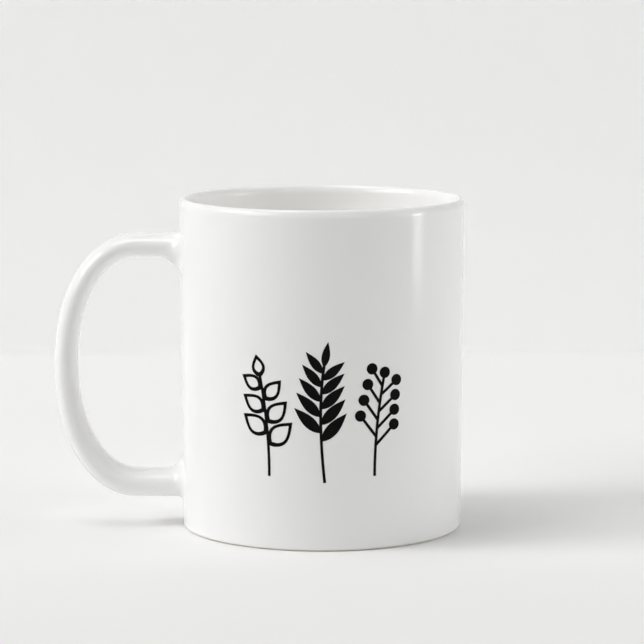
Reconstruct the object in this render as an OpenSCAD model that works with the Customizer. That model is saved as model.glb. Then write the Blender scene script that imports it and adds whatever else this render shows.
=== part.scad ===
// Straight-sided ceramic mug with a loop handle and a leaf print on its front.
// Millimetres, +Z up. The origin is the middle of the standing ring, on the table.
// The handle points to -X and the printed front faces -Y.

/* [Cup] */
// Height from the table to the top of the lip
cup_height = 95.3; // [84:0.1:112]
// Outer diameter that the wall reaches at the height of the lip
top_diameter = 82; // [74:0.5:92]
// Outer diameter that the wall has at the table
base_diameter = 80.5; // [72:0.5:92]
// Thickness of the wall with its glaze, where the rounding of the lip starts
lip_thickness = 2.7; // [2.4:0.1:3.4]
// Height of the rounding of the lip, which is half an ellipse
lip_height = 2.5; // [1.3:0.1:3]
// Thickness of the wall with its glaze, down at the floor
wall = 4.2; // [3.4:0.1:6]
// Height of the floor inside the cup above the table
floor_height = 7; // [5.5:0.1:10]
// Radius between the wall and the floor inside the cup
inner_corner = 12; // [6:0.5:18]

/* [Foot] */
// Radius of the outer edge at the table
base_edge = 1; // [0.7:0.1:2]
// Width of the bare standing ring
ring_width = 4.5; // [3:0.1:8]
// Radius of the standing ring's inner edge
ring_edge = 0.8; // [0.6:0.1:1.4]
// Height of the hollow under the cup
hollow_depth = 2; // [1.4:0.1:3]
// Radius between the hollow's slope and its ceiling
hollow_corner = 1.2; // [0.5:0.1:2]
// Height of bare clay below the edge of the outer glaze
bare_line = 0.3; // [0.1:0.05:0.6]

/* [Handle] */
// Distance from the lip's top down to the middle of the upper root
upper_root_drop = 13.7; // [11:0.1:20]
// Height of the middle of the lower root above the table
lower_root_height = 12.3; // [10:0.1:20]
// Distance from the wall to the outermost face of the handle
handle_reach = 36.4; // [32:0.1:46]
// Depth of the rounded part of the loop
loop_depth = 20.9; // [14:0.1:22]
// Fullness of the loop, where 2 is an ellipse and more is squarer
loop_fullness = 2.1; // [2:0.05:2.6]
// Width of the strap
strap_width = 13; // [10:0.5:17]
// Thickness of the strap at the upper root
strap_top = 6.7; // [5.5:0.1:9]
// Thickness of the strap at the outermost point of the loop
strap_middle = 6.9; // [5.5:0.1:9]
// Thickness of the strap at the lower root
strap_bottom = 8; // [5.5:0.1:9.5]
// Fullness of the strap's section, where 2 is an ellipse and more is squarer
strap_fullness = 2.3; // [2:0.1:3]
// Radius under the upper root, inside the loop
upper_fillet = 7; // [3:0.1:8]
// Radius over the lower root, inside the loop
lower_fillet = 5.5; // [3:0.1:8]
// Radius of both roots on the outside of the loop
outer_fillet = 1.6; // [1:0.1:2.5]

/* [Coats] */
// Thickness of the glaze
glaze = 0.3; // [0.15:0.05:0.45]
// Thickness of the slip that welds the handle on
slip = 0.5; // [0.3:0.05:0.8]
// Clearance between the slip's flat facets and the round wall
seat_gap = 0.03; // [0.02:0.01:0.1]
// Thickness of the print film
film = 0.06; // [0.04:0.01:0.2]

/* [Print] */
// Height of the lowest stem end above the table
print_bottom = 19.5; // [14:0.5:26]
// Height of the print
print_height = 41; // [30:0.5:52]
// Width of the print, measured round the wall
print_width = 49; // [36:0.5:60]
// Height of the side sprigs' lowest stem ends above the table
side_bottom = 21; // [16:0.5:28]
// Height of the side sprigs' stems
side_height = 29; // [22:0.5:36]
// Distance that the stems bend to one side
stem_sway = 1.5; // [0:0.1:3]
// Width of a printed line
line_width = 0.8; // [0.6:0.05:1.2]
// Length of the centre sprig's leaves, before they shrink towards its tip
centre_leaf = 12; // [8:0.1:13]
// Length of the left sprig's leaves, before they shrink towards its tip
left_leaf = 11; // [8:0.1:12]
// Length of the right sprig's stalks, before they shrink towards its tip
stalk = 9; // [6:0.1:10]
// Radius of the right sprig's berries
berry = 1.6; // [1.2:0.1:2]
// Distance from the side sprigs' stems to the edge of the print
side_reach = 8; // [7:0.1:10]

/* [Hidden] */

$fn = 96;
arc_steps = 12;

// Cup section: r is the distance from the axis, and inset is a depth under the glazed surface
taper = atan((top_diameter - base_diameter) / 2 / cup_height);
function wall_r(z) = base_diameter / 2 + z * tan(taper);
function arc(centre, r, from, to) =
    [for (i = [0:arc_steps]) let(a = from + (to - from) * i / arc_steps) centre + r * [cos(a), sin(a)]];
function reversed(list) = [for (i = [len(list) - 1:-1:0]) list[i]];
function unit(v) = v / norm(v);

// The lip's ellipse runs into two faces, and for each face its lean gives the reach from the lip's
// centre out to it and the angle where it starts
lip_r = lip_thickness / 2;
lip_z = cup_height - lip_height;
function lip_reach(lean) = norm([lip_r, lip_height * tan(lean)]);
function lip_angle(lean) = atan(lip_height / lip_r * tan(lean));
lip_centre = [wall_r(lip_z) - lip_reach(taper), lip_z];
function lip_point(a, inset) =
    let(out = unit([cos(a) / lip_r, sin(a) / lip_height]))
    lip_centre + [lip_r * cos(a), lip_height * sin(a)] - inset * out;
function lip_arc(inset, from, to) =
    [for (i = [0:arc_steps]) lip_point(from + (to - from) * i / arc_steps, inset)];

// The inside leans more than the outside, because the wall gets thicker on its way down
inner_lean = atan((wall + lip_centre.x - lip_r - wall_r(floor_height)) / (lip_z - floor_height));
function inside_r(z) = lip_centre.x - lip_reach(inner_lean) + (z - lip_z) * tan(inner_lean);
outer_start = -lip_angle(taper);
inner_start = 180 - lip_angle(inner_lean);
corner_z = floor_height + inner_corner;
corner_centre = [inside_r(corner_z) - inner_corner / cos(inner_lean), corner_z];
function corner_arc(inset) = arc(corner_centre, inner_corner + inset, -inner_lean, -90);

edge_centre = [wall_r(base_edge) - base_edge / cos(taper), base_edge];
bare_angle = asin(1 - bare_line / base_edge);
function edge_arc(inset, from, to) = arc(edge_centre, base_edge - inset, from, to);

// The hollow's side slopes at 45 degrees between two rounded ends
slope = 45;
ring_inner = edge_centre.x - ring_width;
ring_edge_centre = [ring_inner, ring_edge];
hollow_r = ring_inner - hollow_depth - (ring_edge + hollow_corner) * tan(slope / 2);
hollow_centre = [hollow_r, hollow_depth - hollow_corner];
function ring_edge_arc(inset) = arc(ring_edge_centre, ring_edge - inset, -90, -90 - slope);
function ring_edge_end(inset) = ring_edge_arc(inset)[arc_steps];
function hollow_arc(inset) = arc(hollow_centre, hollow_corner + inset, slope, 90);

body_profile = concat(
    [[0, floor_height - glaze]],
    reversed(corner_arc(glaze)),
    lip_arc(glaze, inner_start, outer_start),
    edge_arc(glaze, -taper, -bare_angle),
    edge_arc(0, -bare_angle, -90),
    ring_edge_arc(0),
    [ring_edge_end(glaze)],
    hollow_arc(glaze),
    [[0, hollow_depth + glaze]]);

outer_profile = concat(
    edge_arc(0, -bare_angle, -taper),
    lip_arc(0, outer_start, 90),
    lip_arc(glaze, 90, outer_start),
    edge_arc(glaze, -taper, -bare_angle));

inner_profile = concat(
    lip_arc(0, 90, inner_start),
    corner_arc(0),
    [[0, floor_height], [0, floor_height - glaze]],
    reversed(corner_arc(glaze)),
    lip_arc(glaze, inner_start, 90));

base_profile = concat(
    [ring_edge_end(0)],
    hollow_arc(0),
    [[0, hollow_depth], [0, hollow_depth + glaze]],
    reversed(hollow_arc(glaze)),
    [ring_edge_end(glaze)]);

// Strap section: u runs round it, with 90 on the outside of the loop
sides = 24;
bend_steps = 20;
turns = [for (i = [0:sides - 1]) i * 360 / sides];
function power(v, e) = sign(v) * pow(abs(v), e);
function section(u, thick) = let(e = 2 / strap_fullness)
    [strap_width / 2 * power(cos(u), e), thick / 2 * power(sin(u), e)];
function section_normal(u, thick) = let(e = 2 - 2 / strap_fullness)
    unit([power(cos(u), e) / strap_width, power(sin(u), e) / thick]);

// Loop path: a runs from 0 at the upper stub to 180 at the lower one
upper_z = cup_height - upper_root_drop;
lower_z = lower_root_height;
middle_z = (upper_z + lower_z) / 2;
half_span = (upper_z - lower_z) / 2;
loop_x = -(top_diameter / 2 + handle_reach - strap_middle / 2);
stub_x = loop_x + loop_depth;
strap_taper = (strap_top - strap_bottom) / 2;
strap_swell = (strap_top + strap_bottom) / 2 - strap_middle;
function strap_thick(a) = strap_middle + strap_taper * cos(a) + strap_swell * pow(cos(a), 2);
function path_point(a) = let(e = 2 / loop_fullness)
    [stub_x - loop_depth * power(sin(a), e), middle_z + half_span * power(cos(a), e)];
function path_normal(a) = let(e = 2 - 2 / loop_fullness)
    unit([-power(sin(a), e) / loop_depth, power(cos(a), e) / half_span]);
function bend_ring(a, inset) = let(at = path_point(a), out = path_normal(a), thick = strap_thick(a))
    [for (u = turns) let(p = section(u, thick) - inset * section_normal(u, thick))
        [at.x + p.y * out.x, p.x, at.y + p.y * out.y]];

// Roots: each is [height, side, thickness, radius inside the loop], and side is 1 where the loop is below
upper_root = [upper_z, 1, strap_top, upper_fillet];
lower_root = [lower_z, -1, strap_bottom, lower_fillet];
stub_end = 0.5;
stub_room = -stub_x - top_diameter / 2 - stub_end;
function fillet_r(root, u) = min(stub_room, root[3] + (outer_fillet - root[3]) * (1 + sin(u)) / 2);
function seat_x(y, z, inset) = -sqrt(pow(wall_r(z) - inset + (inset > 0 ? seat_gap : 0), 2) - y * y);
// A point of the flare, which leaves the strap at turn 0 and runs into the wall at turn 90
function flare_point(root, u, turn, inset) =
    let(r = fillet_r(root, u), normal = section_normal(u, root[2]))
    let(p = section(u, root[2]) + (r - (r + inset) * cos(turn)) * normal)
    let(z = root[0] + root[1] * p.y)
    [seat_x(p.x, z, inset) - (r + inset) * (1 - sin(turn)), p.x, z];
// Clay rings run from the strap down to the slip, and slip rings from there to the wall
clay_steps = 4;
slip_steps = 2;
flare_steps = clay_steps + slip_steps;
function slip_turn(root, u) = asin(1 - slip / (fillet_r(root, u) + glaze));
function flare_turn(root, u, step) = let(at_slip = slip_turn(root, u))
    step <= clay_steps ? at_slip * step / clay_steps
        : at_slip + (90 - at_slip) * (step - clay_steps) / slip_steps;
function flare_ring(root, step, inset) =
    [for (u = turns) flare_point(root, u, flare_turn(root, u, step), inset)];
function flare_rings(root, from, to, inset) =
    [for (step = [from:sign(to - from):to]) flare_ring(root, step, inset)];
// A ring drawn in towards the middle of the root, on the clay wall or on slip of thickness lift
cap_shares = [2/3, 1/3];
function seat_ring(root, ring, share, lift) =
    [for (p = ring) let(y = p.y * share, z = root[0] + (p.z - root[0]) * share)
        [seat_x(y, z, glaze) - lift, y, z]];
function seat_rings(root, step, lift) = let(rim = flare_ring(root, step, glaze))
    [for (share = cap_shares) seat_ring(root, rim, share, lift)];
function seat_middle(root, lift) = [seat_x(0, root[0], glaze) - lift, 0, root[0]];

bend_angles = [for (i = [0:bend_steps]) i * 180 / bend_steps];
function bend_rings(inset) = [for (a = bend_angles) bend_ring(a, inset)];
handle_rings = concat(
    reversed(seat_rings(upper_root, clay_steps, slip)),
    flare_rings(upper_root, clay_steps, 0, glaze),
    bend_rings(glaze),
    flare_rings(lower_root, 0, clay_steps, glaze),
    seat_rings(lower_root, clay_steps, slip));
function joint_rings(root) = concat(
    reversed(seat_rings(root, flare_steps, 0)),
    flare_rings(root, flare_steps, clay_steps, glaze),
    seat_rings(root, clay_steps, slip));
function coat_rings(inset) = concat(
    flare_rings(upper_root, flare_steps, 0, inset),
    bend_rings(inset),
    flare_rings(lower_root, 0, flare_steps, inset));

// Solids from rings of points, all with as many points
function band(ring, next) = [for (i = [0:sides - 1]) let(j = (i + 1) % sides)
    each [[ring * sides + i, ring * sides + j, next * sides + j],
        [ring * sides + i, next * sides + j, next * sides + i]]];
module capped_loft(first, rings, last) {
    end = len(rings) * sides;
    polyhedron(
        points = concat([for (ring = rings) each ring], [first, last]),
        faces = concat(
            [for (i = [0:len(rings) - 2]) each band(i, i + 1)],
            [for (i = [0:sides - 1]) [end, (i + 1) % sides, i]],
            [for (i = [0:sides - 1]) [end + 1, end - sides + i, end - sides + (i + 1) % sides]]));
}
module closed_loft(rings) {
    polyhedron(
        points = [for (ring = rings) each ring],
        faces = [for (i = [0:len(rings) - 1]) each band(i, (i + 1) % len(rings))]);
}
// The part of the wall that a root covers, as a prism along X
module root_window(root) {
    outline = [for (p = flare_ring(root, flare_steps, 0)) [p.y, p.z]];
    translate([-top_diameter, 0, 0])
        rotate([90, 0, 90])
            linear_extrude(height = top_diameter)
                polygon(outline);
}

// Print: outlines are drawn flat, as [distance round the wall, height], then wrapped on the wall
leaf_steps = 10;
stem_steps = 14;
function wrapped(points) = [for (p = points) let(r = wall_r(p.y)) [r * sin(p.x / r * 180 / PI), p.y]];
function placed(points, at, angle) =
    [for (p = points) at + [p.x * cos(angle) - p.y * sin(angle), p.x * sin(angle) + p.y * cos(angle)]];
// A stem is a bent line of three points: its foot, the point that it bends towards and its tip
function stem_point(stem, t) = pow(1 - t, 2) * stem[0] + 2 * t * (1 - t) * stem[1] + t * t * stem[2];
function stem_angle(stem, t) =
    let(d = (1 - t) * (stem[1] - stem[0]) + t * (stem[2] - stem[1])) atan2(d.y, d.x);
function stem_side(stem, t, side) = let(angle = stem_angle(stem, t))
    stem_point(stem, t) + side * line_width / 2 * [-sin(angle), cos(angle)];
function stem_outline(stem) = concat(
    [for (i = [0:stem_steps]) stem_side(stem, i / stem_steps, 1)],
    [for (i = [stem_steps:-1:0]) stem_side(stem, i / stem_steps, -1)]);
// A leaf is widest below its middle, and its rims meet in a point
belly_power = 0.8;
function leaf_half(t, width) = width / 2 * sin(180 * pow(t, belly_power));
function leaf_outline(length, width) = concat(
    [for (i = [0:leaf_steps]) let(t = i / leaf_steps) [length * t, leaf_half(t, width)]],
    [for (i = [leaf_steps - 1:-1:1]) let(t = i / leaf_steps) [length * t, -leaf_half(t, width)]]);
function berry_outline() = [for (i = [0:sides - 1]) berry * [cos(i * 360 / sides), -sin(i * 360 / sides)]];

// An open leaf's rim, in line widths: at its neck, at both ends together and at its sides together
neck_ratio = 1.8;
ends_ratio = 3.6;
sides_ratio = 2.2;
module stroke(stem) polygon(wrapped(stem_outline(stem)));
module leaf(length, width, at, angle) polygon(wrapped(placed(leaf_outline(length, width), at, angle)));
module open_leaf(length, width, at, angle) difference() {
    leaf(length, width, at, angle);
    leaf(length - ends_ratio * line_width, width - sides_ratio * line_width,
        at + neck_ratio * line_width * [cos(angle), sin(angle)], angle);
}
// Leaves and stalks stand in turn on the two sides of a stem, between two shares of its length
first_share = 0.3;
last_share = 0.95;
shrink_share = 0.4;
function row_share(row, side, rows) =
    first_share + (last_share - first_share) * (row + (side + 1) / 4) / rows;
module leafy_sprig(stem, rows, spread, length, slimness, open) {
    stroke(stem);
    for (row = [0:rows - 1], side = [-1, 1]) {
        t = row_share(row, side, rows);
        one = length * (1 - shrink_share * t);
        sprig_leaf(one, slimness * one, stem_point(stem, t), stem_angle(stem, t) + side * spread, open);
    }
    one = length * (1 - shrink_share);
    sprig_leaf(one, slimness * one, stem_point(stem, last_share), stem_angle(stem, 1), open);
}
module sprig_leaf(length, width, at, angle, open) {
    if (open) {
        open_leaf(length, width, at, angle);
    } else {
        leaf(length, width, at, angle);
    }
}
module berry_sprig(stem, rows, spread, length) {
    stroke(stem);
    for (row = [0:rows - 1], side = [-1, 1]) {
        t = row_share(row, side, rows);
        at = stem_point(stem, t);
        aim = stem_angle(stem, t) + side * spread;
        tip = at + length * (1 - shrink_share * t) * [cos(aim), sin(aim)];
        stroke([at, (at + tip) / 2, tip]);
        polygon(wrapped(placed(berry_outline(), tip, 0)));
    }
    polygon(wrapped(placed(berry_outline(), stem[2], 0)));
}
// A thin film of the flat outlines given to it, on the front of the outer glaze
film_profile = [[wall_r(0), 0], [wall_r(0) + film, 0],
    [wall_r(lip_z) + film, lip_z], [wall_r(lip_z), lip_z]];
module front_film() intersection() {
    rotate_extrude() polygon(film_profile);
    rotate([90, 0, 0])
        linear_extrude(height = top_diameter)
            children();
}

// Spread is the angle of leaves and stalks to the stem, and slimness is a leaf's width for its length
centre_rows = 5;
centre_spread = 45;
centre_slimness = 0.32;
left_rows = 3;
left_spread = 50;
left_slimness = 0.62;
right_rows = 4;
right_spread = 42;
print_top = print_bottom + print_height;
centre_stem = [[stem_sway / 2, print_bottom], [-stem_sway, (print_bottom + print_top) / 2],
    [stem_sway / 2, print_top - centre_leaf * (1 - shrink_share)]];
side_x = print_width / 2 - side_reach;
left_stem = [[stem_sway - side_x, side_bottom], [stem_sway - side_x, side_bottom + side_height / 2],
    [-stem_sway - side_x, side_bottom + side_height]];
right_stem = [[side_x - stem_sway, side_bottom], [side_x - stem_sway, side_bottom + side_height / 2],
    [side_x + stem_sway, side_bottom + side_height]];

module body() color("#d9d2c4") rotate_extrude() polygon(body_profile);
module handle() color("#d9d2c4")
    capped_loft(seat_middle(upper_root, slip), handle_rings, seat_middle(lower_root, slip));
module upper_handle_joint() color("#cbc3b4")
    capped_loft(seat_middle(upper_root, 0), joint_rings(upper_root), seat_middle(upper_root, slip));
module lower_handle_joint() color("#cbc3b4")
    capped_loft(seat_middle(lower_root, slip), reversed(joint_rings(lower_root)), seat_middle(lower_root, 0));
module outer_glaze() color("#f4f5f6") difference() {
    rotate_extrude() polygon(outer_profile);
    root_window(upper_root);
    root_window(lower_root);
}
module inner_glaze() color("#f7f7f7") rotate_extrude() polygon(inner_profile);
module base_glaze() color("#f1f2f3") rotate_extrude() polygon(base_profile);
module handle_glaze() color("#f4f5f6") closed_loft(concat(coat_rings(0), reversed(coat_rings(glaze))));

module centre_sprig_print() color("#111111") front_film()
    leafy_sprig(centre_stem, centre_rows, centre_spread, centre_leaf, centre_slimness, false);
module left_sprig_print() color("#111111") front_film()
    leafy_sprig(left_stem, left_rows, left_spread, left_leaf, left_slimness, true);
module right_sprig_print() color("#111111") front_film()
    berry_sprig(right_stem, right_rows, right_spread, stalk);

body();
handle();
upper_handle_joint();
lower_handle_joint();
outer_glaze();
inner_glaze();
base_glaze();
handle_glaze();
centre_sprig_print();
left_sprig_print();
right_sprig_print();
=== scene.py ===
import math
import bmesh
import bpy
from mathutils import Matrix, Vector


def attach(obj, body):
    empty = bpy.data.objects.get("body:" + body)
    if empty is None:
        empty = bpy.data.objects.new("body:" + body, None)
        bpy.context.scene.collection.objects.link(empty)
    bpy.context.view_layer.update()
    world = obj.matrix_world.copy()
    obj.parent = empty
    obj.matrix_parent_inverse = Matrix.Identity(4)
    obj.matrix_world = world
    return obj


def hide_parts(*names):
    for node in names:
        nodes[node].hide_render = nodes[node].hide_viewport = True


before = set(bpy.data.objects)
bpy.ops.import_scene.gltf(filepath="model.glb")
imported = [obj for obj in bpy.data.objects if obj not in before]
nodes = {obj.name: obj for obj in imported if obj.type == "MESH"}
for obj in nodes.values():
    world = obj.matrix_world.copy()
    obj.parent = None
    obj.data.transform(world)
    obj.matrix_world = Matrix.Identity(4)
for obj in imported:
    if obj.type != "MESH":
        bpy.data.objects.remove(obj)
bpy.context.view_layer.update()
mm = 0.001
print("frame loaded,", len(nodes), "nodes")


# small helpers for selecting and finishing

def deselectAll():
    if bpy.context.object and bpy.context.object.mode != "OBJECT":
        bpy.ops.object.mode_set(mode="OBJECT")
    bpy.ops.object.select_all(action="DESELECT")


def makeActive(piece):
    deselectAll()
    piece.select_set(True)
    bpy.context.view_layer.objects.active = piece


def applyModifier(piece, modifier):
    makeActive(piece)
    bpy.ops.object.modifier_apply(modifier=modifier.name)


def giveThickness(piece, thickness):  # the made surface stays outside
    wall = piece.modifiers.new("thickness", "SOLIDIFY")
    wall.thickness = thickness
    wall.offset = -1
    wall.use_even_offset = True
    applyModifier(piece, wall)


def smoothPiece(piece, degrees=40):
    makeActive(piece)
    bpy.ops.object.shade_smooth_by_angle(angle=math.radians(degrees))


def arcPoint(centre, radius, degrees):
    angle = math.radians(degrees)
    return centre[0] + radius * math.cos(angle), centre[1] + radius * math.sin(angle)


def arcPoints(centre, radius, start, end, steps):  # angles in degrees
    return [arcPoint(centre, radius, start + (end - start) * i / steps) for i in range(steps + 1)]


def between(start, end, count, hold=0.6 * mm):  # points along a line, one held close to each end
    length = math.dist(start, end)
    shares = [hold / length] + [i / count for i in range(1, count)] + [1 - hold / length]
    return [tuple(a + (b - a) * share for a, b in zip(start, end)) for share in shares]


# one vertex, extruded along the (radius, height) points, then spun round the axis
def spinProfile(name, points, steps, faceAt, faceOut):
    deselectAll()
    bpy.ops.mesh.primitive_plane_add(size=mm, location=(points[0][0], 0, points[0][1]))
    piece = bpy.context.object
    piece.name = piece.data.name = name
    bpy.ops.object.transform_apply(location=True, rotation=True, scale=True)
    bpy.ops.object.mode_set(mode="EDIT")
    bpy.ops.mesh.select_all(action="SELECT")
    bpy.ops.mesh.merge(type="CENTER")
    for here, there in zip(points, points[1:]):
        step = (there[0] - here[0], 0, there[1] - here[1])
        bpy.ops.mesh.extrude_region_move(TRANSFORM_OT_translate={"value": step})
    bpy.ops.mesh.select_all(action="SELECT")
    bpy.ops.mesh.spin(steps=steps, angle=math.tau, center=(0, 0, 0), axis=(0, 0, 1))
    bpy.ops.mesh.select_all(action="SELECT")
    bpy.ops.mesh.remove_doubles(threshold=0.002 * mm)
    bpy.ops.mesh.normals_make_consistent(inside=False)
    bpy.ops.object.mode_set(mode="OBJECT")
    # the face nearest to faceAt tells if the skin looks the right way
    nearest = min(piece.data.polygons, key=lambda face: (face.center - Vector(faceAt)).length)
    if nearest.normal.dot(Vector(faceOut)) < 0:
        piece.data.flip_normals()
    return piece


# cup glaze, one coat from the foot over the lip to the inside floor

cup = {
    "height": 95.3 * mm,
    "topDiameter": 82 * mm,
    "baseDiameter": 80.5 * mm,
    "lip": 2.7 * mm,  # thickness where the lip's rounding starts
    "lipHeight": 2.5 * mm,  # the rounding is half an ellipse
    "wall": 4.2 * mm,  # thickness at the inside floor
    "floor": 7 * mm,
    "corner": 12 * mm,  # radius between wall and floor inside
    "edge": 1 * mm,  # radius at the table
    "bareLine": 0.3 * mm,
    "glaze": 0.3 * mm,
    "thinning": ((0, 0.12 * mm), (3, 0.036 * mm)),  # degrees up from the lower rim, and how much is lost
    "fullFrom": 9,  # degrees up where the glaze is full
    "edgeSteps": 8,
    "wallSteps": 9,
    "lipSteps": 48,
    "cornerSteps": 20,
    "floorSteps": 5,
    "turns": 256,
}
taper = math.atan((cup["topDiameter"] - cup["baseDiameter"]) / 2 / cup["height"])
taperDegrees = math.degrees(taper)


def wallRadius(z):
    return cup["baseDiameter"] / 2 + z * math.tan(taper)


def lipReach(lean):  # from the lip's centre out to a face with this lean
    return math.hypot(cup["lip"] / 2, cup["lipHeight"] * math.tan(lean))


def lipAngle(lean):
    return math.degrees(math.atan(2 * cup["lipHeight"] / cup["lip"] * math.tan(lean)))


def cupProfile():
    edge, corner, lip = cup["edge"], cup["corner"], cup["lip"] / 2
    edgeCentre = (wallRadius(edge) - edge / math.cos(taper), edge)
    lipZ = cup["height"] - cup["lipHeight"]
    lipX = wallRadius(lipZ) - lipReach(taper)
    # the inside leans more than the outside, because the wall thickens downwards
    drop = lipZ - cup["floor"]
    lean = math.atan((cup["wall"] + lipX - lip - wallRadius(cup["floor"])) / drop)
    cornerZ = cup["floor"] + corner
    insideX = lipX - lipReach(lean) + (cornerZ - lipZ) * math.tan(lean)
    cornerCentre = (insideX - corner / math.cos(lean), cornerZ)
    bare = math.degrees(math.asin(1 - cup["bareLine"] / edge))
    rim = [arcPoint(edgeCentre, edge - lost, up - bare) for up, lost in cup["thinning"]]
    low = arcPoints(edgeCentre, edge, cup["fullFrom"] - bare, -taperDegrees, cup["edgeSteps"])
    turn = arcPoints((0, 0), 1, -lipAngle(taper), 180 - lipAngle(lean), cup["lipSteps"])
    over = [(lipX + lip * x, lipZ + cup["lipHeight"] * z) for x, z in turn]
    bend = arcPoints(cornerCentre, corner, -math.degrees(lean), -90, cup["cornerSteps"])
    outside = between(low[-1], over[0], cup["wallSteps"])
    inside = between(over[-1], bend[0], cup["wallSteps"])
    middle = (0, cup["floor"])
    bottom = between(bend[-1], middle, cup["floorSteps"])
    return rim + low + outside + over + inside + bend + bottom + [middle]


halfway = 50 * mm  # up the mug
cupGlaze = spinProfile("cupGlaze", cupProfile(), cup["turns"], (wallRadius(halfway), 0, halfway), (1, 0, 0))
giveThickness(cupGlaze, cup["glaze"])
smoothPiece(cupGlaze)
print("cup glaze spun,", len(cupGlaze.data.polygons), "faces")


# base glaze, in the hollow under the cup

foot = {
    "ringWidth": 4.5 * mm,
    "ringEdge": 0.8 * mm,
    "hollow": 2 * mm,
    "hollowCorner": 1.2 * mm,
    "slope": 45,
    "roll": 0.1 * mm,  # how far the glaze thins at its rim
    "rollHold": 0.15 * mm,
    "slopeSteps": 2,
    "cornerSteps": 12,
    "ceilingSteps": 6,
    "turns": 160,
}


def baseProfile():
    ringX = wallRadius(cup["edge"]) - cup["edge"] / math.cos(taper) - foot["ringWidth"]
    lean = math.tan(math.radians(foot["slope"] / 2))
    hollowX = ringX - foot["hollow"] - (foot["ringEdge"] + foot["hollowCorner"]) * lean
    start = arcPoint((ringX, foot["ringEdge"]), foot["ringEdge"], -90 - foot["slope"])
    cornerCentre = (hollowX, foot["hollow"] - foot["hollowCorner"])
    bend = arcPoints(cornerCentre, foot["hollowCorner"], foot["slope"], 90, foot["cornerSteps"])
    rim = [arcPoint(start, foot["roll"], foot["slope"])]
    slope = between(start, bend[0], foot["slopeSteps"], foot["rollHold"])
    middle = (0, foot["hollow"])
    ceiling = between(bend[-1], middle, foot["ceilingSteps"])
    return rim + slope + bend + ceiling + [middle]


ceilingPlace = (20 * mm, 0, foot["hollow"])
baseGlaze = spinProfile("baseGlaze", baseProfile(), foot["turns"], ceilingPlace, (0, 0, -1))
giveThickness(baseGlaze, cup["glaze"])
smoothPiece(baseGlaze)
print("base glaze spun,", len(baseGlaze.data.polygons), "faces")


# handle glaze, a ring of the strap extruded from the upper root round the loop to the lower root

handle = {
    "upperZ": 81.6 * mm,
    "lowerZ": 12.3 * mm,
    "reach": 36.4 * mm,
    "loopDepth": 20.9 * mm,
    "loopFullness": 2.1,
    "width": 13 * mm,
    "thickTop": 6.7 * mm,
    "thickMiddle": 6.9 * mm,
    "thickBottom": 8 * mm,
    "fullness": 2.3,
    "upperFillet": 7 * mm,
    "lowerFillet": 5.5 * mm,
    "outerFillet": 1.6 * mm,
    "sides": 72,
    "bendSteps": 72,
    "flareTurns": (90, 89, 87, 84, 80, 74, 66, 57, 47, 36, 24, 12, 0),
    "smoothUpTo": 50,
}


def power(value, exponent):
    return math.copysign(abs(value) ** exponent, value)


def unit(a, b):
    length = math.hypot(a, b)
    return a / length, b / length


def strapSection(angle, thick):  # across the strap and out from its middle
    exponent = 2 / handle["fullness"]
    across = handle["width"] / 2 * power(math.cos(angle), exponent)
    return across, thick / 2 * power(math.sin(angle), exponent)


def strapNormal(angle, thick):
    exponent = 2 - 2 / handle["fullness"]
    return unit(power(math.cos(angle), exponent) / handle["width"], power(math.sin(angle), exponent) / thick)


def sideAngles():
    return [math.tau * i / handle["sides"] for i in range(handle["sides"])]


def bendRing(turn):  # 0 at the upper stub, half a turn at the lower one
    middleZ = (handle["upperZ"] + handle["lowerZ"]) / 2
    halfSpan = (handle["upperZ"] - handle["lowerZ"]) / 2
    loopX = -(cup["topDiameter"] / 2 + handle["reach"] - handle["thickMiddle"] / 2)
    sine, cosine = math.sin(math.radians(turn)), math.cos(math.radians(turn))
    exponent = 2 / handle["loopFullness"]
    x = loopX + handle["loopDepth"] * (1 - power(sine, exponent))
    z = middleZ + halfSpan * power(cosine, exponent)
    outX, outZ = unit(-power(sine, 2 - exponent) / handle["loopDepth"],
                      power(cosine, 2 - exponent) / halfSpan)
    ends = (handle["thickTop"] + handle["thickBottom"]) / 2 - handle["thickMiddle"]
    lean = (handle["thickTop"] - handle["thickBottom"]) / 2
    thick = handle["thickMiddle"] + lean * cosine + ends * cosine ** 2
    ring = []
    for angle in sideAngles():
        across, out = strapSection(angle, thick)
        ring.append(Vector((x + out * outX, across, z + out * outZ)))
    return ring


def flareRing(turn, rootZ, side, thick, fillet):  # from the strap at turn 0 to the wall at turn 90
    sine, cosine = math.sin(math.radians(turn)), math.cos(math.radians(turn))
    ring = []
    for angle in sideAngles():
        radius = fillet + (handle["outerFillet"] - fillet) * (1 + math.sin(angle)) / 2
        across, out = strapSection(angle, thick)
        normalAcross, normalOut = strapNormal(angle, thick)
        across += radius * (1 - cosine) * normalAcross
        out += radius * (1 - cosine) * normalOut
        z = rootZ + side * out
        seat = -math.sqrt(wallRadius(z) ** 2 - across ** 2)
        ring.append(Vector((seat - radius * (1 - sine), across, z)))
    return ring


def rootRings(rootZ, side, thick, fillet):
    return [flareRing(turn, rootZ, side, thick, fillet) for turn in handle["flareTurns"]]


def handleRings():
    upper = rootRings(handle["upperZ"], 1, handle["thickTop"], handle["upperFillet"])
    lower = rootRings(handle["lowerZ"], -1, handle["thickBottom"], handle["lowerFillet"])
    loop = [bendRing(180 * i / handle["bendSteps"]) for i in range(handle["bendSteps"] + 1)]
    return upper + loop + lower[::-1]


def placeRing(piece, ring, last):  # moves the selected loop of vertices to the ring
    mesh = bmesh.from_edit_mesh(piece.data)
    loop = [vertex for vertex in mesh.verts if vertex.select]
    for vertex in loop:
        index = min(range(len(last)), key=lambda i: (last[i] - vertex.co).length_squared)
        vertex.co = ring[index]
    bmesh.update_edit_mesh(piece.data)


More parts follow.
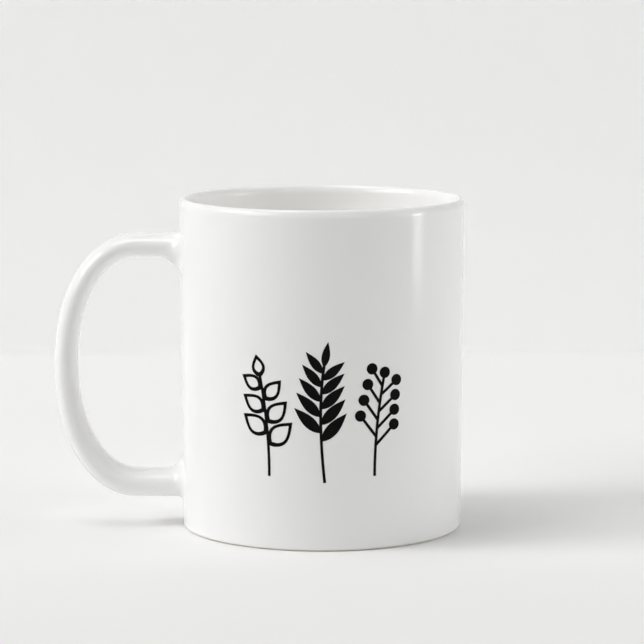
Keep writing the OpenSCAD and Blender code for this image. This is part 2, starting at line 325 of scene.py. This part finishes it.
def sweepHandle(name, rings):
    deselectAll()
    bpy.ops.mesh.primitive_circle_add(vertices=handle["sides"], radius=handle["width"] / 2)
    piece = bpy.context.object
    piece.name = piece.data.name = name
    start = [vertex.co.copy() for vertex in piece.data.vertices]
    bpy.ops.object.mode_set(mode="EDIT")
    bpy.ops.mesh.select_all(action="SELECT")
    placeRing(piece, rings[0], start)
    for last, ring in zip(rings, rings[1:]):
        bpy.ops.mesh.extrude_region_move(TRANSFORM_OT_translate={"value": (0, 0, 0)})
        placeRing(piece, ring, last)
    bpy.ops.mesh.select_all(action="SELECT")
    bpy.ops.mesh.normals_make_consistent(inside=False)
    bpy.ops.object.mode_set(mode="OBJECT")
    outermost = min(piece.data.polygons, key=lambda face: face.center.x)
    if outermost.normal.x > 0:
        piece.data.flip_normals()
    return piece


handleGlaze = sweepHandle("handleGlaze", handleRings())
giveThickness(handleGlaze, cup["glaze"])
smoothPiece(handleGlaze, handle["smoothUpTo"])
print("handle glaze swept,", len(handleGlaze.data.polygons), "faces")


# leaf print: the films keep their outlines and take their shading from the smooth glaze under them

def smoothFilm(name, node):
    deselectAll()
    piece = nodes[node].copy()
    piece.data = nodes[node].data.copy()
    piece.parent = None
    piece.name = piece.data.name = name
    for key in list(piece.keys()):
        del piece[key]
    bpy.context.scene.collection.objects.link(piece)
    makeActive(piece)
    bpy.ops.object.mode_set(mode="EDIT")
    bpy.ops.mesh.select_all(action="SELECT")
    bpy.ops.mesh.remove_doubles(threshold=0.001 * mm)
    bpy.ops.object.mode_set(mode="OBJECT")
    bpy.ops.object.shade_smooth()
    shading = piece.modifiers.new("shading", "DATA_TRANSFER")
    shading.object = cupGlaze
    shading.use_loop_data = True
    shading.data_types_loops = {"CUSTOM_NORMAL"}
    shading.loop_mapping = "POLYINTERP_NEAREST"
    applyModifier(piece, shading)
    return piece


centreSprig = smoothFilm("centreSprig", "centre_sprig_print")
leftSprig = smoothFilm("leftSprig", "left_sprig_print")
rightSprig = smoothFilm("rightSprig", "right_sprig_print")
print("leaf print smoothed")


# shader helpers

def newNode(tree, kind, **inputs):
    node = tree.nodes.new(kind)
    for name, value in inputs.items():
        node.inputs[name].default_value = value
    return node


def newGroup(name, inputs, outputs):
    group = bpy.data.node_groups.new(name, "ShaderNodeTree")
    for label, value in inputs.items():
        kind = "NodeSocketVector" if value is None else "NodeSocketFloat"
        socket = group.interface.new_socket(name=label, in_out="INPUT", socket_type=kind)
        if value is not None:
            socket.default_value = value
    for label in outputs:
        group.interface.new_socket(name=label, in_out="OUTPUT", socket_type="NodeSocketFloat")
    return group, group.nodes.new("NodeGroupInput"), group.nodes.new("NodeGroupOutput")


def placeGroup(tree, group, vector, **values):
    node = tree.nodes.new("ShaderNodeGroup")
    node.node_tree = group
    tree.links.new(vector, node.inputs["Vector"])
    for name, value in values.items():
        node.inputs[name].default_value = value
    return node


def scaleValue(tree, value, factor):
    node = tree.nodes.new("ShaderNodeMath")
    node.operation = "MULTIPLY"
    tree.links.new(value, node.inputs[0])
    if isinstance(factor, (int, float)):
        node.inputs[1].default_value = factor
    else:
        tree.links.new(factor, node.inputs[1])
    return node.outputs[0]


def addValues(tree, first, second):
    node = tree.nodes.new("ShaderNodeMath")
    node.operation = "ADD"
    tree.links.new(first, node.inputs[0])
    tree.links.new(second, node.inputs[1])
    return node.outputs[0]


def mapValue(tree, value, low, high, newLow, newHigh):
    node = tree.nodes.new("ShaderNodeMapRange")
    for socket, number in zip(("From Min", "From Max", "To Min", "To Max"), (low, high, newLow, newHigh)):
        node.inputs[socket].default_value = number
    tree.links.new(value, node.inputs["Value"])
    return node.outputs["Result"]


def stretchNoise(tree, value, newLow=0.0, newHigh=1.0):  # most of a noise lies between 0.3 and 0.7
    return mapValue(tree, value, 0.3, 0.7, newLow, newHigh)


def splitPlace(tree, place):  # X, Y and Z apart
    axes = tree.nodes.new("ShaderNodeSeparateXYZ")
    tree.links.new(place, axes.inputs["Vector"])
    return axes.outputs


def squaredRadius(tree, axes):  # distance from the mug's axis, squared
    return addValues(tree, scaleValue(tree, axes["X"], axes["X"]), scaleValue(tree, axes["Y"], axes["Y"]))


def mixColours(tree, factor, first, second):
    node = tree.nodes.new("ShaderNodeMix")
    node.data_type = "RGBA"
    tree.links.new(factor, node.inputs["Factor"])
    for socket, colour in ((node.inputs[6], first), (node.inputs[7], second)):
        if isinstance(colour, tuple):
            socket.default_value = (*colour, 1)
        else:
            tree.links.new(colour, socket)
    return node.outputs[2]


def noiseOf(tree, vector, scale, detail=2.0, rough=0.5):
    node = newNode(tree, "ShaderNodeTexNoise", Detail=detail, Roughness=rough)
    tree.links.new(vector, node.inputs["Vector"])
    if isinstance(scale, (int, float)):
        node.inputs["Scale"].default_value = scale
    else:
        tree.links.new(scale, node.inputs["Scale"])
    return node.outputs["Fac"]


# fired glass surface: slow waves, a fine peel and a slow change of tone
glassTexture = {
    "waveScale": 55,
    "waveDetail": 1.0,
    "peelScale": 700,
    "peelDetail": 2.0,
    "peel": 0.05,
    "toneScale": 22,
    "toneDetail": 3.0,
    "glossScale": 130,
    "glossDetail": 3.0,
    "glossRough": 0.6,
}


def makeGlassRipple():
    look = glassTexture
    inputs = {
        "Vector": None,
        "Wave Scale": look["waveScale"],
        "Peel Scale": look["peelScale"],
        "Peel": look["peel"],
    }
    group, into, out = newGroup("glassRipple", inputs, ("Height", "Tone", "Gloss"))
    vector = into.outputs["Vector"]
    waves = noiseOf(group, vector, into.outputs["Wave Scale"], look["waveDetail"])
    peel = noiseOf(group, vector, into.outputs["Peel Scale"], look["peelDetail"])
    height = addValues(group, waves, scaleValue(group, peel, into.outputs["Peel"]))
    group.links.new(height, out.inputs["Height"])
    tone = noiseOf(group, vector, look["toneScale"], look["toneDetail"])
    group.links.new(tone, out.inputs["Tone"])
    gloss = noiseOf(group, vector, look["glossScale"], look["glossDetail"], look["glossRough"])
    group.links.new(gloss, out.inputs["Gloss"])
    return group


# bare clay: fine grain with a few coarser grits
clayTexture = {
    "grainScale": 2600,
    "grainDetail": 3.0,
    "grainRough": 0.65,
    "gritScale": 1100,
    "gritSize": 0.35,
    "grit": 0.6,
    "toneScale": 160,
    "toneDetail": 4.0,
    "toneRough": 0.6,
}


def makeClayGrain():
    look = clayTexture
    inputs = {"Vector": None, "Grain Scale": look["grainScale"], "Grit": look["grit"]}
    group, into, out = newGroup("clayGrain", inputs, ("Height", "Tone"))
    vector = into.outputs["Vector"]
    grain = noiseOf(group, vector, into.outputs["Grain Scale"], look["grainDetail"], look["grainRough"])
    grit = newNode(group, "ShaderNodeTexVoronoi", Scale=look["gritScale"])
    group.links.new(vector, grit.inputs["Vector"])
    grits = mapValue(group, grit.outputs["Distance"], 0.0, look["gritSize"], 1.0, 0.0)
    bumps = scaleValue(group, grits, into.outputs["Grit"])
    group.links.new(addValues(group, grain, bumps), out.inputs["Height"])
    tone = noiseOf(group, vector, look["toneScale"], look["toneDetail"], look["toneRough"])
    group.links.new(tone, out.inputs["Tone"])
    return group


glassRipple = makeGlassRipple()
clayGrain = makeClayGrain()


def newMaterial(name, roughness):
    material = bpy.data.materials.new(name)
    material.use_nodes = True
    tree = material.node_tree
    shader = next(node for node in tree.nodes if node.type == "BSDF_PRINCIPLED")
    shader.inputs["Roughness"].default_value = roughness
    place = tree.nodes.new("ShaderNodeTexCoord").outputs["Object"]
    return material, tree, shader, place


def addBump(tree, shader, height, depth):
    bump = newNode(tree, "ShaderNodeBump", Strength=1.0, Distance=depth)
    tree.links.new(height, bump.inputs["Height"])
    tree.links.new(bump.outputs["Normal"], shader.inputs["Normal"])


# white glaze
whiteGlaze = {
    "light": (0.938, 0.937, 0.933),
    "deep": (0.925, 0.924, 0.919),
    # painted light: the inside of the cup gets a paler white than the outside, standing in for light that
    # fills the cup
    "inside": (0.965, 0.961, 0.949),
    "thin": (0.88, 0.87, 0.845),  # where the glass runs thin on the lip and at the foot
    "lipBand": 0.9 * mm,
    "lipShare": 0.35,
    "hemTop": 1.1 * mm,
    "hemShare": 0.9,
    "paintedLightFrom": 1.2,  # the painted light inside the cup spans these, in lip thicknesses from the outer wall
    "paintedLightTo": 0.4,
    "roughLow": 0.13,
    "roughHigh": 0.18,
    "peel": 0.04,
    "wave": 0.018 * mm,
}


def makeWhiteGlaze():
    material, tree, shader, place = newMaterial("whiteGlaze", whiteGlaze["roughLow"])
    ripple = placeGroup(tree, glassRipple, place, Peel=whiteGlaze["peel"])
    tone = stretchNoise(tree, ripple.outputs["Tone"])
    colour = mixColours(tree, tone, whiteGlaze["deep"], whiteGlaze["light"])
    axes = splitPlace(tree, place)
    # painted light: inside the lip the glaze is mixed to the paler inside white, a painted brightening of
    # the cup's inside
    underLip = wallRadius(90 * mm)
    inner = underLip - whiteGlaze["paintedLightFrom"] * cup["lip"]
    outer = underLip - whiteGlaze["paintedLightTo"] * cup["lip"]
    inside = mapValue(tree, squaredRadius(tree, axes), inner ** 2, outer ** 2, 1.0, 0.0)
    colour = mixColours(tree, inside, colour, whiteGlaze["inside"])
    lipStart = cup["height"] - whiteGlaze["lipBand"]
    lip = mapValue(tree, axes["Z"], lipStart, cup["height"], 0.0, whiteGlaze["lipShare"])
    hem = mapValue(tree, axes["Z"], cup["bareLine"], whiteGlaze["hemTop"], whiteGlaze["hemShare"], 0.0)
    colour = mixColours(tree, lip, colour, whiteGlaze["thin"])
    colour = mixColours(tree, hem, colour, whiteGlaze["thin"])
    tree.links.new(colour, shader.inputs["Base Color"])
    gloss = stretchNoise(tree, ripple.outputs["Gloss"], whiteGlaze["roughLow"], whiteGlaze["roughHigh"])
    tree.links.new(gloss, shader.inputs["Roughness"])
    addBump(tree, shader, ripple.outputs["Height"], whiteGlaze["wave"])
    return material


# black print, fired into the glaze
blackPrint = {
    "dense": (0.0015, 0.0015, 0.0016),
    "worn": (0.004, 0.004, 0.0042),
    "wornFrom": 0.35,  # on the gloss noise
    "wornTo": 0.75,
    "roughLow": 0.30,
    "roughHigh": 0.42,
    "sheen": 0.06,
    "peel": 0.08,
    "wave": 0.018 * mm,
}


def makeBlackPrint():
    material, tree, shader, place = newMaterial("blackPrint", blackPrint["roughLow"])
    shader.inputs["Specular IOR Level"].default_value = blackPrint["sheen"]
    ripple = placeGroup(tree, glassRipple, place, Peel=blackPrint["peel"])
    tone = mapValue(tree, ripple.outputs["Gloss"], blackPrint["wornFrom"], blackPrint["wornTo"], 0.0, 1.0)
    colour = mixColours(tree, tone, blackPrint["dense"], blackPrint["worn"])
    tree.links.new(colour, shader.inputs["Base Color"])
    gloss = stretchNoise(tree, ripple.outputs["Gloss"], blackPrint["roughLow"], blackPrint["roughHigh"])
    tree.links.new(gloss, shader.inputs["Roughness"])
    addBump(tree, shader, ripple.outputs["Height"], blackPrint["wave"])
    return material


# bare clay and slip
bareClay = {
    "pale": (0.80, 0.765, 0.70),
    "dark": (0.70, 0.66, 0.59),
    "rubbed": (0.56, 0.53, 0.48),  # where the ring stands
    "rubbedTo": 0.12 * mm,
    "rubbedShare": 0.6,
    "hollowGrain": 0.4,  # grain this low is rubbed least
    "proudGrain": 0.9,
    "leastRubbed": 0.2,
    "rough": 0.85,
    "grit": 0.5,
    "depth": 0.02 * mm,
}
slipClay = {
    **bareClay,
    "pale": (0.77, 0.735, 0.67),
    "dark": (0.66, 0.62, 0.55),
    "rubbed": (0.60, 0.57, 0.51),
    "grit": 0.9,
    "depth": 0.03 * mm,
}


def makeClay(name, clay):
    material, tree, shader, place = newMaterial(name, clay["rough"])
    grain = placeGroup(tree, clayGrain, place, Grit=clay["grit"])
    tone = stretchNoise(tree, grain.outputs["Tone"])
    colour = mixColours(tree, tone, clay["dark"], clay["pale"])
    low = mapValue(tree, splitPlace(tree, place)["Z"], 0.0, clay["rubbedTo"], clay["rubbedShare"], 0.0)
    height = grain.outputs["Height"]
    proud = mapValue(tree, height, clay["hollowGrain"], clay["proudGrain"], clay["leastRubbed"], 1.0)
    rubbed = scaleValue(tree, low, proud)
    tree.links.new(mixColours(tree, rubbed, colour, clay["rubbed"]), shader.inputs["Base Color"])
    addBump(tree, shader, height, clay["depth"])
    return material


whiteGlazeMaterial = makeWhiteGlaze()
blackPrintMaterial = makeBlackPrint()
bareClayMaterial = makeClay("bareClay", bareClay)
slipClayMaterial = makeClay("slipClay", slipClay)


def dress(piece, material):
    piece.data.materials.clear()
    piece.data.materials.append(material)


for piece in (cupGlaze, handleGlaze, baseGlaze):
    dress(piece, whiteGlazeMaterial)
for piece in (centreSprig, leftSprig, rightSprig):
    dress(piece, blackPrintMaterial)
# the CAD nodes that show keep their meshes
for name in ("body", "handle"):
    dress(nodes[name], bareClayMaterial)
for name in ("upper_handle_joint", "lower_handle_joint"):
    dress(nodes[name], slipClayMaterial)
for piece in (cupGlaze, handleGlaze, baseGlaze, centreSprig, leftSprig, rightSprig):
    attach(piece, "root")
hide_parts("outer_glaze", "inner_glaze")
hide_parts("handle_glaze")
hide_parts("base_glaze")
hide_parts("centre_sprig_print")
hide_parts("left_sprig_print")
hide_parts("right_sprig_print")
print("materials and bodies set")


# studio sweep: a pale floor that turns up into a wall behind the mug

studio = {
    "wallY": 0.339,
    "frontY": -2.6,
    "halfWidth": 1.1,
    "wallHeight": 1.1,
    "cove": 0.004,
    "coveSteps": 10,
    "below": 0.02 * mm,  # keeps the floor just clear of the standing ring
    "opening": 39.0 * mm,  # under the mug, so that its underside gets light
    "openingEdge": 0.2 * mm,
    "paperRough": 0.9,
    "paperSheen": 0.1,
    "floorColour": (0.87, 0.869, 0.858),
    "wallColour": (0.95, 0.95, 0.95),
    "floorPale": (0.01, 0.01, 0.01),  # paleness that is seen but gives the mug no light
    "wallPale": (0.1, 0.1, 0.1),
    "sky": (0.86, 0.86, 0.86),
    "skyLight": 0.02,
    "smoothUpTo": 60,
}


def selectEdges(piece, wanted):
    bpy.ops.mesh.select_all(action="DESELECT")
    mesh = bmesh.from_edit_mesh(piece.data)
    for edge in mesh.edges:
        edge.select_set(all(wanted(vertex.co) for vertex in edge.verts))
    bmesh.update_edit_mesh(piece.data)


def atWall(point):
    return point.y > studio["wallY"] - mm


def atWallFoot(point):
    return atWall(point) and point.z < mm


def makeSweep():
    deselectAll()
    bpy.ops.mesh.primitive_plane_add(size=1, location=(0, 0, 0))
    sweep = bpy.context.object
    sweep.name = sweep.data.name = "studioSweep"
    depth = studio["wallY"] - studio["frontY"]
    sweep.scale = (2 * studio["halfWidth"], depth, 1)
    sweep.location = (0, (studio["wallY"] + studio["frontY"]) / 2, -studio["below"])
    bpy.ops.object.transform_apply(location=True, rotation=True, scale=True)
    bpy.ops.object.mode_set(mode="EDIT")
    bpy.ops.mesh.select_mode(type="EDGE")
    selectEdges(sweep, atWall)
    bpy.ops.mesh.extrude_region_move(TRANSFORM_OT_translate={"value": (0, 0, studio["wallHeight"])})
    selectEdges(sweep, atWallFoot)
    bpy.ops.mesh.bevel(offset=studio["cove"], segments=studio["coveSteps"], affect="EDGES")
    bpy.ops.object.mode_set(mode="OBJECT")
    smoothPiece(sweep, studio["smoothUpTo"])
    lowest = min(sweep.data.polygons, key=lambda face: face.center.z)
    if lowest.normal.z < 0:
        sweep.data.flip_normals()
    return sweep


def seenRays(tree):  # what the camera sees, straight or in a reflection
    rays = tree.nodes.new("ShaderNodeLightPath").outputs
    mirrored = addValues(tree, rays["Is Camera Ray"], rays["Is Glossy Ray"])
    return addValues(tree, mirrored, rays["Is Transmission Ray"])


def makeSweepMaterial():
    material, tree, shader, place = newMaterial("studioPaper", studio["paperRough"])
    shader.inputs["Specular IOR Level"].default_value = studio["paperSheen"]
    axes = splitPlace(tree, place)
    rise = mapValue(tree, axes["Z"], 0.0, studio["cove"], 0.0, 1.0)
    colour = mixColours(tree, rise, studio["floorColour"], studio["wallColour"])
    pale = mixColours(tree, rise, studio["floorPale"], studio["wallPale"])
    tree.links.new(colour, shader.inputs["Base Color"])
    tree.links.new(pale, shader.inputs["Emission Color"])
    tree.links.new(seenRays(tree), shader.inputs["Emission Strength"])
    # seen from behind or below, and under the mug, the paper lets the view through
    near, far = studio["opening"], studio["opening"] + studio["openingEdge"]
    under = mapValue(tree, squaredRadius(tree, axes), near ** 2, far ** 2, 1.0, 0.0)
    backside = tree.nodes.new("ShaderNodeNewGeometry").outputs["Backfacing"]
    clear = tree.nodes.new("ShaderNodeBsdfTransparent")
    mix = tree.nodes.new("ShaderNodeMixShader")
    tree.links.new(addValues(tree, backside, under), mix.inputs["Fac"])
    tree.links.new(shader.outputs["BSDF"], mix.inputs[1])
    tree.links.new(clear.outputs["BSDF"], mix.inputs[2])
    out = next(node for node in tree.nodes if node.type == "OUTPUT_MATERIAL")
    tree.links.new(mix.outputs["Shader"], out.inputs["Surface"])
    return material


sweep = makeSweep()
dress(sweep, makeSweepMaterial())


def makeSky():  # a faint even light, and a plain pale tone where the sky is seen
    world = bpy.data.worlds.new("studioSky")
    world.use_nodes = True
    sky = world.node_tree
    ambient = sky.nodes["Background"]
    ambient.inputs["Color"].default_value = (1, 1, 1, 1)
    ambient.inputs["Strength"].default_value = studio["skyLight"]
    shown = newNode(sky, "ShaderNodeBackground", Color=(*studio["sky"], 1), Strength=1.0)
    both = sky.nodes.new("ShaderNodeMixShader")
    sky.links.new(seenRays(sky), both.inputs["Fac"])
    sky.links.new(ambient.outputs["Background"], both.inputs[1])
    sky.links.new(shown.outputs["Background"], both.inputs[2])
    sky.links.new(both.outputs["Shader"], sky.nodes["World Output"].inputs["Surface"])
    return world


bpy.context.scene.world = makeSky()
print("studio sweep and sky made")


# soft lamps, each aimed at the middle of the mug

lamps = {
    "leftWindow": {"place": (-2.88, -0.44, 2.03), "size": (1.1, 1.1), "watts": 46.0},
    "leftFront": {"place": (-2.54, -1.60, 1.59), "size": (1.6, 1.6), "watts": 24.5},
    "topLeft": {"place": (-1.00, -0.20, 3.47), "size": (1.8, 1.8), "watts": 39.0},
    "frontRight": {"place": (0.81, -1.70, 0.77), "size": (0.9, 0.9), "watts": 3.0},
    "rightHigh": {"place": (1.08, -0.15, 1.30), "size": (0.8, 0.8), "watts": 3.1},
    "rightLow": {"place": (1.53, -0.40, 0.48), "size": (1.1, 0.7), "watts": 3.4},
    "rightCard": {"place": (0.413, -0.075, 0.09), "size": (0.075, 0.14), "watts": 0.0105, "spread": 35},
    # through the opening in the paper, to the underside alone
    "underMug": {"place": (0.00, -0.10, -0.60), "size": (0.5, 0.5), "watts": 3.3},
}
aim = Vector((0, 0, halfway))


def addLamp(name, lamp):
    deselectAll()
    bpy.ops.object.light_add(type="AREA", location=lamp["place"])
    light = bpy.context.object
    light.name = light.data.name = name
    light.data.shape = "RECTANGLE"
    light.data.size, light.data.size_y = lamp["size"]
    light.data.energy = lamp["watts"]
    light.data.spread = math.radians(lamp.get("spread", 180))
    light.rotation_euler = (aim - Vector(lamp["place"])).to_track_quat("-Z", "Y").to_euler()
    light.visible_camera = False


for name, lamp in lamps.items():
    addLamp(name, lamp)


# camera, fitted to the ellipses of the lip and the foot

lens = {"place": (0, -0.854, 0.1736), "down": 7.634, "length": 166.7, "sensor": 36, "nearest": 0.01}


def addCamera():
    deselectAll()
    bpy.ops.object.camera_add(location=lens["place"], rotation=(math.radians(90 - lens["down"]), 0, 0))
    camera = bpy.context.object
    camera.name = camera.data.name = "photoCamera"
    camera.data.lens = lens["length"]
    camera.data.sensor_width = lens["sensor"]
    camera.data.clip_start = lens["nearest"]
    return camera


bpy.context.scene.camera = addCamera()
bpy.context.scene.view_settings.view_transform = "Standard"
bpy.context.scene.cycles.diffuse_bounces = 10  # light that bounces about inside the white cup
print("lamps and camera placed")
